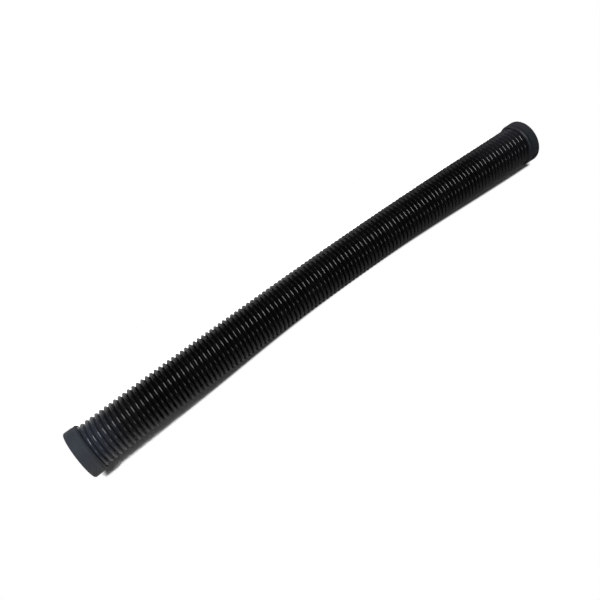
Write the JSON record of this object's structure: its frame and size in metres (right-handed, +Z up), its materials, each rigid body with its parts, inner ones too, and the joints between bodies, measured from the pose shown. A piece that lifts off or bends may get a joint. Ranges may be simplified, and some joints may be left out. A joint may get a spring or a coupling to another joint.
{
  "type": "pool vacuum hose",
  "caption": "Short pool vacuum hose: a black spiral-ribbed flexible tube lying in a slight bow, with a smooth slip-on cuff fixed on each end.",
  "frame": {"origin": "on the floor, at the middle of the bottom of the bounding box", "axes": "+X along the hose towards the right cuff, +Y towards the outside of the hose's bow, +Z up"},
  "size_m": [0.6138, 0.0571, 0.052],
  "materials": {
    "hose": "glossy soft plastic, black",
    "cuff": "matt moulded, dark slate"
  },
  "bodies": {
    "root": {"hose": "hose", "left_cuff": "cuff", "right_cuff": "cuff"}
  },
  "joints": []
}
